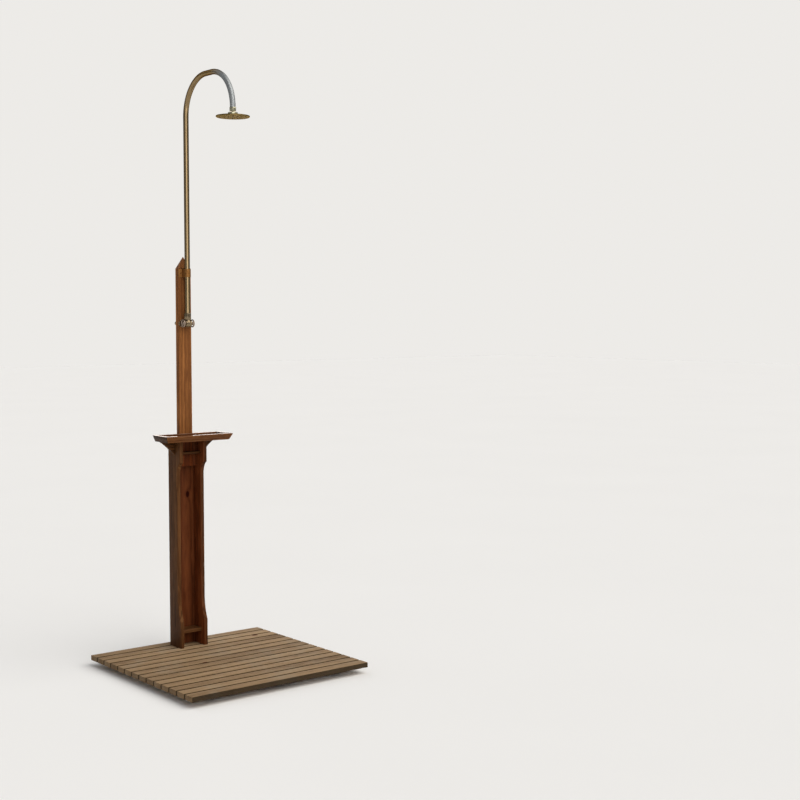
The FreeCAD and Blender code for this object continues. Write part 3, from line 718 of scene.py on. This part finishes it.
# ---- valve ------------------------------------------------------------------------
def threaded_inlet(x, start, end, settings):
    """A pipe thread that runs round the inlet, with a bore in its free end. It starts and
    ends at places along Y, in millimetres."""
    crest, bore, web = 8.331, 5.0, 1.0
    thread_depth, run_out = 0.72, 1.6
    lead_in_depth, lead_in = 0.9, 0.8
    rows_per_turn = 8
    pitch = settings.thread_pitch / MM
    length = end - start
    rows = int(length / pitch * rows_per_turn)
    wall = [(crest, length * k / rows) for k in range(rows + 1)]
    profile = [(0, 0)] + wall + [(bore, length), (bore, web), (0, web)]
    bm = turned(profile, Matrix.Identity(4), settings.tube_sides)
    for vert in bm.verts:
        if math.hypot(vert.co.x, vert.co.y) < crest * 0.98 * MM:
            continue
        height = vert.co.z / MM
        to_end = length - height
        turn = math.atan2(vert.co.y, vert.co.x) / math.tau
        wave = abs(((height / pitch - turn) % 1.0) * 2.0 - 1.0)
        depth = thread_depth * (1.0 - wave) * min(1.0, to_end / run_out)
        depth += lead_in_depth * max(0.0, 1.0 - to_end / lead_in)
        vert.co.xy *= (crest - depth) / crest
    place = along(Y_AXIS, (x, start * MM, VALVE_Z))
    bmesh.ops.transform(bm, matrix=place, verts=bm.verts)
    return bm


class SHOWER_OT_valve(bpy.types.Operator):
    """The mixing valve's casting, its nuts and headworks, and the plate behind the post"""
    bl_idname = "shower.valve"
    bl_label = "Valve"

    def execute(self, context):
        settings = context.scene.shower_post
        sides = settings.tube_sides
        valve_tones = ((86, 70, 50), tone_of(settings.valve_tone), (206, 192, 166))
        brass = metal("valve_brass", valve_tones, (0.16, 0.34), age=0.5, spots=0.5, scale=2.0,
                      edge=0.7)
        centre = Vector((0, PIPE_Y, VALVE_Z))
        upward = along(Z_AXIS, centre)
        bm = bmesh.new()
        barrel = [(0, -13)] + arc(13.2, -12.2, 0.8, -90, 0, 4) + [(14, -9.8)]
        barrel += [(13.3, -9.2), (13.1, -8.6), (13.1, 8.6), (13.3, 9.2), (14, 9.8)]
        barrel += arc(13.2, 12.2, 0.8, 0, 90, 4) + [(0, 13)]
        merge(bm, turned(barrel, along(X_AXIS, centre), sides))
        neck = [(0, 4), (14.0, 4), (13.2, 8.5), (11.9, 11.2), (11.1, 12.6), (10.9, 13.6), (11, 22)]
        merge(bm, turned(neck + [(0, 22)], upward, sides))
        half_height = 12 * MM
        body = (12.9, PIPE_Y, ROSE_FRONT, 3.2)
        flange = (18.5, ROSE_FRONT - 7 * MM, ROSE_FRONT + 1 * MM, 2.6)
        for half_width, front, back, rounding in (body, flange):
            block = box_shape((-half_width * MM, front, VALVE_Z - half_height),
                              (half_width * MM, back, VALVE_Z + half_height))
            round_edges(block, rounding * MM, lambda e: middle_of(e).y < ROSE_FRONT - 1 * MM,
                        segments=5)
            merge(bm, block)
        half_width, half_height = 30 * MM, 15 * MM
        rose = box_shape((-half_width, ROSE_FRONT, VALVE_Z - half_height),
                         (half_width, ROSE_BACK, VALVE_Z + half_height))
        round_edges(rose, 14.98 * MM, lambda e: abs(run_of(e).y) > 0.9, segments=20)
        round_edges(rose, 1.5 * MM, lambda e: middle_of(e).y < ROSE_FRONT + 1e-5, 50.0, 5)
        merge(bm, rose)
        shank = [(0, 0), (8.9, 0), (8.9, 35), (0, 35)]
        for x in (-INLET_X, INLET_X):
            merge(bm, turned(shank, along(Y_AXIS, (x, ROSE_BACK - 1 * MM, VALVE_Z)), sides))
            merge(bm, threaded_inlet(x, 346.5, 362.0, settings))
        finish_piece("valve_casting", bm, "post", ["valve_body"], brass, 32.0)

        union = hexagon(27.0, 14.6, 41.9, upward @ Matrix.Rotation(math.pi / 6, 4, "Z"), 1.1 * MM)
        for low, high in ((14.5, 16.2), (40.4, 42.0)):
            collar = [(11.15, low), (12.9, low), (13.3, low + 0.4), (13.3, high - 0.4),
                      (12.9, high), (11.15, high)]
            merge(union, turned(collar, upward, sides))
        finish_piece("union_nut_turned", union, "post", ["union_nut"], brass, 32.0)

        for name, side in (("left", -1), ("right", 1)):
            place = along(X_AXIS * side, centre)
            headwork = hexagon(18.0, 13.2, 16.6, place, 0.5 * MM)
            gland = [(3.1, 13.0), (8.2, 13.0), (8.2, 16.9), (7.6, 17.5), (3.1, 17.5)]
            merge(headwork, turned(gland, place, sides))
            finish_piece("headwork_" + name + "_turned", headwork, "post", ["headwork_" + name],
                         brass, 32.0)

        def corner(edge):
            return abs(run_of(edge).y) > 0.9 and abs(middle_of(edge).x) > 26 * MM

        def rim(edge):
            place = middle_of(edge)
            return abs(place.x) > 22.5 * MM or abs(place.z - VALVE_Z) > 9.5 * MM

        plate = cad_copy("valve_back_plate")
        round_edges(plate, 4.0 * MM, corner, 50.0, 6)
        round_edges(plate, 0.5 * MM, rim, 50.0, 2)
        steel = metal("plate_steel_brushed", ((120, 118, 112), (168, 166, 160), (206, 204, 198)),
                      (0.3, 0.46), age=0.4, brush=0, spots=0.3)
        finish_piece("valve_back_plate_pressed", plate, "post", ["valve_back_plate"],
                     steel)
        nuts = cad_copy("lock_nuts")
        round_edges(nuts, 0.6 * MM, long_edge(6 * MM), least_angle=50.0)
        finish_piece("lock_nuts_turned", nuts, "post", ["lock_nuts"], brass, 32.0)
        return {"FINISHED"}


class SHOWER_OT_taps(bpy.types.Operator):
    """The two handwheels: a rounded rim, four spokes and a hub on a square spindle"""
    bl_idname = "shower.taps"
    bl_label = "Taps"

    def execute(self, context):
        settings = context.scene.shower_post
        brass = metal("wheel_brass", ((92, 72, 58), (158, 140, 126), (228, 214, 204)),
                      (0.16, 0.32), age=0.4, spots=0.4, scale=2.0, edge=0.8)
        centre = Vector((0, PIPE_Y, VALVE_Z))
        rim = arc(14.4, 22.15, 2.1, 0, 90) + arc(14.1, 22.15, 2.1, 90, 180)
        rim += arc(14.1, 21.35, 2.1, 180, 270) + arc(14.4, 21.35, 2.1, 270, 360)
        hub = [(3.0, 18.5), (4.8, 18.5)] + arc(5.0, 19.5, 1.0, -60, 0, 3)
        hub += arc(4.8, 23.5, 1.2, 0, 75, 5)
        hub += [(4.6, 24.85), (3.6, 24.85), (3.2, 24.3), (3.0, 24.3)]
        spoke_start, spoke_end = Vector((4.2, -2.25, 19.9)) * MM, Vector((13.0, 2.25, 23.6)) * MM
        for name, side in (("left", -1), ("right", 1)):
            place = along(X_AXIS * side, centre)
            bm = turned(rim, place, settings.tube_sides)
            merge(bm, turned(hub, place, settings.tube_sides))
            for degrees in (45, 135, 225, 315):
                spoke = box_shape(spoke_start, spoke_end)
                round_edges(spoke, 1.3 * MM, lambda e: abs(run_of(e).x) > 0.9, segments=5)
                swing = Matrix.Rotation(math.radians(degrees), 4, "Z")
                bmesh.ops.transform(spoke, matrix=place @ swing, verts=spoke.verts)
                merge(bm, spoke)
            finish_piece("handwheel_" + name + "_cast", bm, name + "_tap", ["handwheel_" + name],
                         brass, 32.0)
            dress("spindle_" + name, brass)
        return {"FINISHED"}


# ---- head -------------------------------------------------------------------------
class SHOWER_OT_head(bpy.types.Operator):
    """The swivel nut, and the round head with its face plate and soft nozzles"""
    bl_idname = "shower.head"
    bl_label = "Shower head"

    def execute(self, context):
        settings = context.scene.shower_post
        sides = settings.tube_sides * 2
        pale = metal("swivel_chrome", ((128, 122, 96), (186, 182, 156), (226, 222, 204)),
                     (0.2, 0.36), age=0.3, spots=0.2, scale=2.0, edge=0.5)
        outlet_axis = Vector((0, HEAD_Y))
        nut = cad_copy("swivel_nut")
        round_edges(nut, 1.0 * MM, lambda e: (middle_of(e).xy - outlet_axis).length > 12.1 * MM,
                    50.0)
        finish_piece("swivel_nut_turned", nut, "post", ["swivel_nut"], pale, 32.0)
        dress("ball_seal", moulded("seal_rubber_black", (30, 30, 30), 0.55))
        dress("swivel_ball", pale)

        boss_height, boss_bore = 13.0, 4.05
        disc_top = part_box("head_shell")[1].z - boss_height * MM
        shell_metal = metal("head_bronze", ((88, 74, 44), (116, 98, 62), (150, 130, 90)),
                            (0.3, 0.44), age=0.3, spots=0.0, bump=0.06, rim=(200, 183, 146))
        place = along(Z_AXIS, (0, HEAD_Y, disc_top))
        shell = [(boss_bore, boss_height)] + arc(17.2, 11.2, 1.8, 90, 0)
        shell += [(19.0, 8.2), (18.2, 7.6), (18.2, 6.6), (19.0, 6.0)]
        shell += arc(24.0, 5.0, 5.0, 180, 270, 7)
        shell += arc(63.6, -2.4, 2.4, 90, 0) + arc(63.8, -3.8, 2.2, 0, -90)
        shell += [(62.0, -6.0), (62.0, -2.0), (boss_bore, -2.0)]
        cover = finish_piece("head_shell_spun", turned(shell, place, sides), "head", ["head_shell"],
                             shell_metal, 32.0)
        cover.data.materials.append(pale)
        for face in cover.data.polygons:
            if face.center.z > disc_top + 0.8 * MM:
                face.material_index = 1
        level, deep = -5.9, -5.5
        plate = [(0, -4.0), (61.9, -4.0), (61.9, -5.4), (61.5, level)]
        for groove in (57.5, 45.0, 27.0, 9.0):
            plate += [(groove + 1.0, level), (groove + 0.6, deep), (groove - 0.6, deep),
                      (groove - 1.0, level)]
        plate.append((0, level))
        face_metal = metal("face_bronze", ((70, 54, 26), (91, 71, 34), (116, 94, 50)),
                           (0.42, 0.54), age=0.3, spots=0.0, bump=0.06, rim=(214, 198, 160))
        finish_piece("head_face_plate_spun", turned(plate, place, sides), "head",
                     ["head_face_plate"], face_metal, 32.0)
        nozzles = bmesh.new()
        nub = [(0, 0.3), (1.5, 0.3), (1.5, -0.2), (1.25, -0.55), (1.1, -1.1), (0.85, -1.38),
               (0.5, -1.4), (0.42, -0.9), (0, -0.9)]
        for radius, count in ((0.0, 1), (18.0, 6), (36.0, 12), (54.0, 12)):
            for k in range(count):
                angle = math.tau * k / count
                spot = Vector((radius * math.cos(angle), radius * math.sin(angle), -6.0)) * MM
                merge(nozzles, turned(nub, place @ Matrix.Translation(spot), 12))
        finish_piece("head_nozzles_moulded", nozzles, "head", ["head_nozzles"],
                     moulded("nozzle_silicone_grey", tone_of(settings.nozzle_tone), 0.6))
        return {"FINISHED"}


# ---- stage ------------------------------------------------------------------------
class SHOWER_OT_stage(bpy.types.Operator):
    """The pale floor, soft studio lamps, a pale backdrop and the camera"""
    bl_idname = "shower.stage"
    bl_label = "Stage"

    def aim(self, scene, name, data, spot, target, strength, tint):
        """Adds a lamp at a spot, turned to a target and hidden from the camera."""
        data.energy = strength
        data.color = tint
        lamp = bpy.data.objects.new(name, data)
        lamp.location = spot
        lamp.rotation_euler = (Vector(target) - Vector(spot)).to_track_quat("-Z", "Y").to_euler()
        lamp.visible_camera = False
        scene.collection.objects.link(lamp)
        return lamp

    def execute(self, context):
        settings = context.scene.shower_post
        scene = context.scene
        bm = bmesh.new()
        bmesh.ops.create_grid(bm, x_segments=1, y_segments=1, size=settings.floor_size / 2)
        mesh = bpy.data.meshes.new("studio_floor")
        bm.to_mesh(mesh)
        bm.free()
        floor = bpy.data.objects.new("studio_floor", mesh)
        scene.collection.objects.link(floor)
        material, shader, graph = new_material("floor_paper", {"Specular IOR Level": 0.0})
        place = graph.make("ShaderNodeTexCoord", out="Object")
        soft = place.noise(0.8, 2.0, 0.5)
        feed(shader, Base_Color=soft.mix(grey(0.85), grey(0.86)), Roughness=soft * 0.06 + 0.9)
        mesh.materials.append(material)

        # The suns light every surface evenly. Metal and varnish mirror the softboxes.
        warm = (1.0, 0.98, 0.95)
        amber = (1.0, 0.86, 0.77)
        # Each sun's name, the side it shines from, its width in degrees, strength and tint,
        # and whether gloss shows it.
        suns = (
            ("key", (1.5, -2.3, 3.5), 64.0, 2.3, (1.0, 0.965, 0.91), True),
            ("front", (-0.9, -6.3, 2.0), 36.0, 0.62, warm, False),
            ("back", (-1.0, 3.6, 3.0), 50.0, 0.35, (0.95, 0.97, 1.0), True),
        )
        for name, spot, spread, strength, tint, glossy in suns:
            data = bpy.data.lights.new(name, "SUN")
            data.angle = math.radians(spread)
            lamp = self.aim(scene, name, data, spot, (0, 0, 0), strength, tint)
            lamp.visible_glossy = glossy
        # Each softbox's name, place, target, width and height, watts and tint.
        softboxes = (
            ("tall_front", (-0.9, -6.0, 2.6), (0, 0.29, 1.5), (2.6, 5.0), 80.0, warm),
            ("side_front", (-3.5, -5.3, 2.6), (0, 0.29, 1.5), (3.0, 5.0), 92.0, warm),
            ("low_back", (4.0, 5.2, 1.7), (0, 0.25, 0.95), (3.2, 1.4), 40.0, amber),
        )
        for name, spot, target, size, strength, tint in softboxes:
            data = bpy.data.lights.new(name, "AREA")
            data.shape = "RECTANGLE"
            data.size, data.size_y = size
            lamp = self.aim(scene, name, data, spot, target, strength, tint)
            lamp.visible_diffuse = False

        world = bpy.data.worlds.new("studio")
        world.use_nodes = True
        tree = world.node_tree
        tree.nodes.clear()
        air = Signal(tree)
        seen = air.make("ShaderNodeLightPath", out="Is Camera Ray")
        room = air.make("ShaderNodeBackground", {"Color": grey(0.29), "Strength": 1.0})
        backdrop = air.make("ShaderNodeBackground",
                            {"Color": srgb(*tone_of(settings.backdrop_tone)), "Strength": 1.0})
        shown = air.make("ShaderNodeMixShader", {0: seen, 1: room, 2: backdrop})
        output = tree.nodes.new("ShaderNodeOutputWorld")
        tree.links.new(shown.socket, output.inputs["Surface"])
        scene.world = world
        scene.view_settings.view_transform = "Standard"

        # The camera turns from +Y towards +X by its heading, and looks down by its dip.
        camera_data = bpy.data.cameras.new("camera")
        camera_data.lens = 62.2
        camera_data.sensor_width = 36.0
        camera_data.clip_end = 200.0
        camera = bpy.data.objects.new("camera", camera_data)
        heading, dip = math.radians(39.04), math.radians(3.59)
        look = Vector((math.sin(heading) * math.cos(dip), math.cos(heading) * math.cos(dip),
                       -math.sin(dip)))
        camera.location = (-2.9105, -4.6856, 1.4287)
        camera.rotation_euler = look.to_track_quat("-Z", "Y").to_euler()
        scene.collection.objects.link(camera)
        scene.camera = camera
        return {"FINISHED"}


# ---- panel ------------------------------------------------------------------------
OPERATORS = (SHOWER_OT_deck, SHOWER_OT_column, SHOWER_OT_tray, SHOWER_OT_riser, SHOWER_OT_valve,
             SHOWER_OT_taps, SHOWER_OT_head, SHOWER_OT_stage)


class SHOWER_PT_panel(bpy.types.Panel):
    bl_idname = "SHOWER_PT_panel"
    bl_label = "Shower post"
    bl_space_type = "VIEW_3D"
    bl_region_type = "UI"
    bl_category = "Shower post"

    def draw(self, context):
        settings = context.scene.shower_post
        for key in ShowerSettings.__annotations__:
            self.layout.prop(settings, key)
        for operator in OPERATORS:
            self.layout.operator(operator.bl_idname)


CLASSES = (ShowerSettings, *OPERATORS, SHOWER_PT_panel)


def register():
    for cls in CLASSES:
        bpy.utils.register_class(cls)
    bpy.types.Scene.shower_post = PointerProperty(type=ShowerSettings)


def unregister():
    del bpy.types.Scene.shower_post
    for cls in reversed(CLASSES):
        bpy.utils.unregister_class(cls)


def main():
    register()
    bpy.ops.shower.deck()
    bpy.ops.shower.column()
    bpy.ops.shower.tray()
    bpy.ops.shower.riser()
    bpy.ops.shower.valve()
    bpy.ops.shower.taps()
    bpy.ops.shower.head()
    bpy.ops.shower.stage()


if __name__ == "__main__":
    main()
